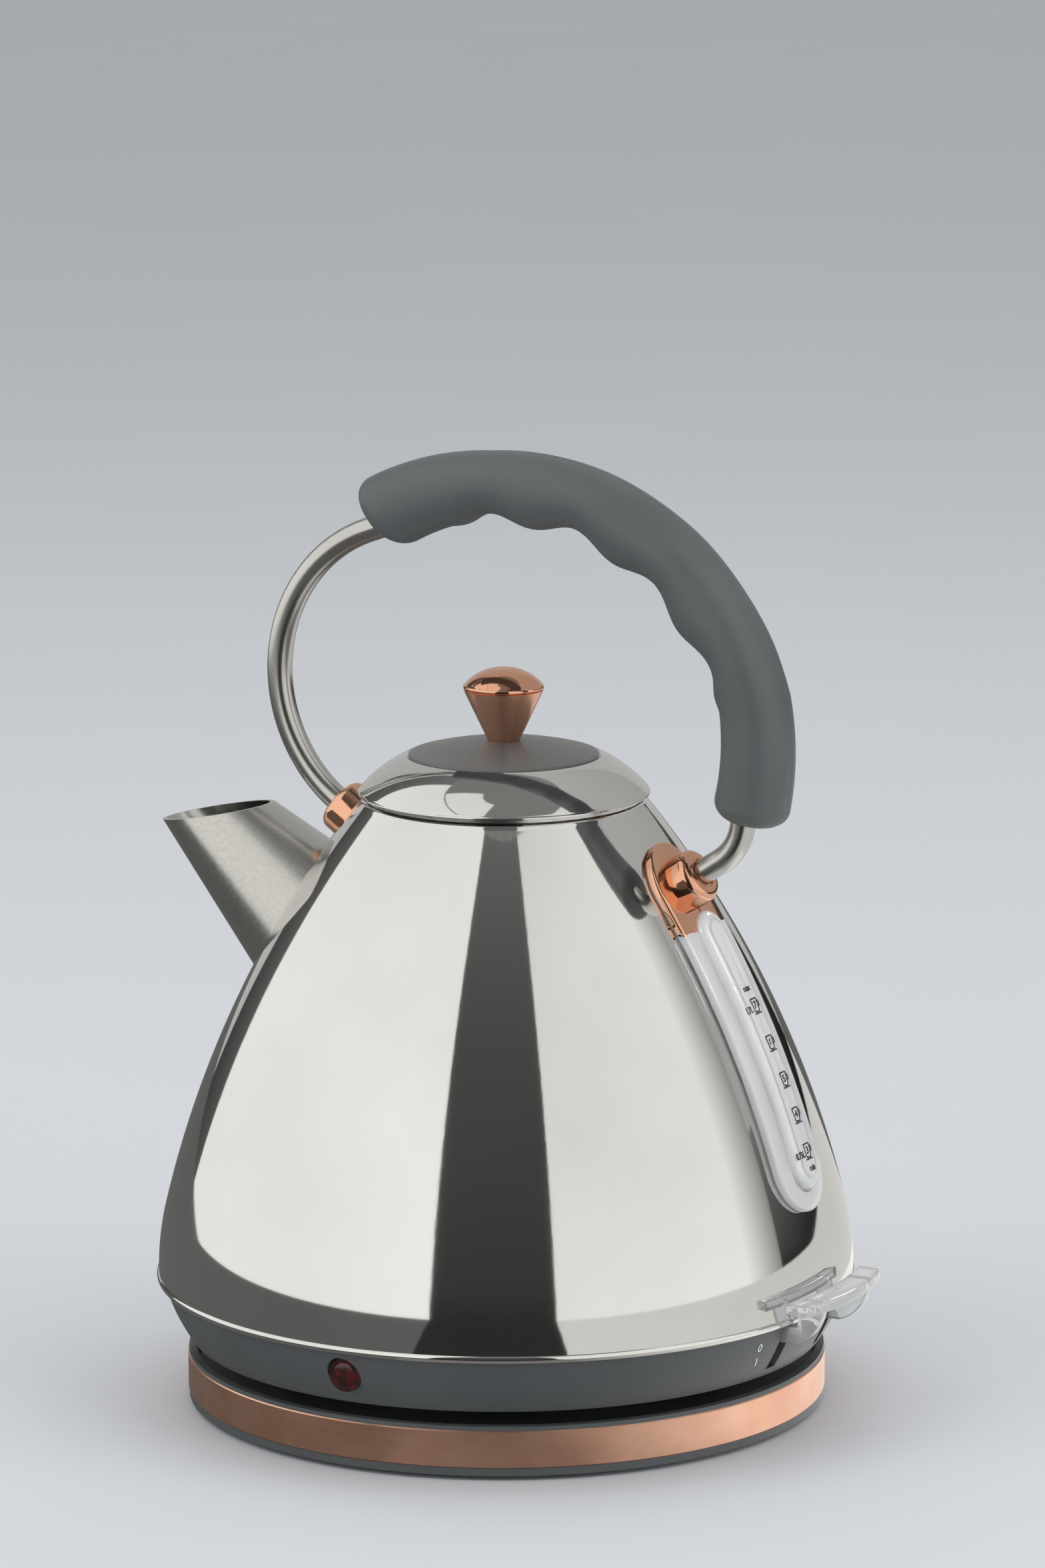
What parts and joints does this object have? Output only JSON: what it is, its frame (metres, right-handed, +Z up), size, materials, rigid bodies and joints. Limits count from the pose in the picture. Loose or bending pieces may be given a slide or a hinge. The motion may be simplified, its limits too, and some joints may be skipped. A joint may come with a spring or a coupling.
{
  "type": "electric kettle",
  "caption": "Pyramid-shaped steel electric kettle with an arched handle, lift-out lid, cone spout, side water gauge, rocker switch and a round cordless power base.",
  "frame": {"origin": "on the table, under the jug's axis", "axes": "+Z up, +X towards the water gauge and switch, spout towards -X"},
  "size_m": [0.23, 0.208, 0.2842],
  "materials": {
    "steel": "mirror polished",
    "satin_steel": "satin",
    "grey_plastic": "satin",
    "grip": "soft touch",
    "copper": "polished copper plate",
    "satin_copper": "satin copper plate",
    "clear": "clear",
    "red_lens": "gloss",
    "black_plastic": "moulded",
    "rubber": "matte",
    "fastener": "machined",
    "aluminium": "cast",
    "brass": "bright",
    "white_plastic": "moulded"
  },
  "bodies": {
    "base": {"base_tray": "grey_plastic", "base_plate": "grey_plastic", "base_band": "satin_copper", "base_feet": "rubber", "base_screws": "fastener", "base_connector": "black_plastic", "contact_pin": "brass", "contact_rings": "brass", "cord_gland": "grey_plastic", "cord_clamp": "black_plastic"},
    "socket": {"jug_socket": "black_plastic", "socket_contacts": "brass"},
    "jug": {"body_shell": "steel", "element_plate": "steel", "spout": "satin_steel", "handle_tube": "satin_steel", "collar": "grey_plastic", "bottom_cover": "grey_plastic", "handle_grip": "grip", "rear_boss": "copper", "front_boss": "copper", "gauge_window": "clear", "indicator_lens": "red_lens", "control_unit": "black_plastic", "switch_bracket": "black_plastic", "handle_seals": "rubber", "gauge_gasket": "rubber", "bottom_screws": "fastener", "handle_screws": "fastener", "handle_inserts": "fastener", "switch_pivot": "fastener", "bimetal_disc": "fastener", "heat_spreader": "aluminium", "heating_element": "aluminium", "steam_tube": "white_plastic", "indicator_lamp": "white_plastic"},
    "lid": {"lid_dome": "steel", "lid_disc": "grey_plastic", "lid_knob": "satin_copper", "knob_cap": "copper", "lid_inner": "steel", "lid_seal": "rubber", "lid_screw": "fastener"},
    "switch": {"switch_lever": "clear"},
    "filter": {"filter_frame": "white_plastic", "filter_mesh": "fastener"}
  },
  "joints": [
    {"name": "lift_off", "type": "slide", "parent": "base", "child": "socket", "axis": [0, 0, 1], "range_m": [0, 0.12]},
    {"name": "swivel", "type": "hinge", "parent": "socket", "child": "jug", "pos_m": [0, 0, 0.03], "axis": [0, 0, 1], "continuous": true},
    {"name": "lid_lift", "type": "slide", "parent": "jug", "child": "lid", "axis": [0, 0, 1], "range_m": [0, 0.035]},
    {"name": "switch_rock", "type": "hinge", "parent": "jug", "child": "switch", "pos_m": [0.078, 0, 0.033], "axis": [0, 1, 0], "range_deg": [0, 15]},
    {"name": "filter_pull", "type": "slide", "parent": "jug", "child": "filter", "axis": [0.7649, 0, -0.6441], "range_m": [0, 0.028]}
  ]
}
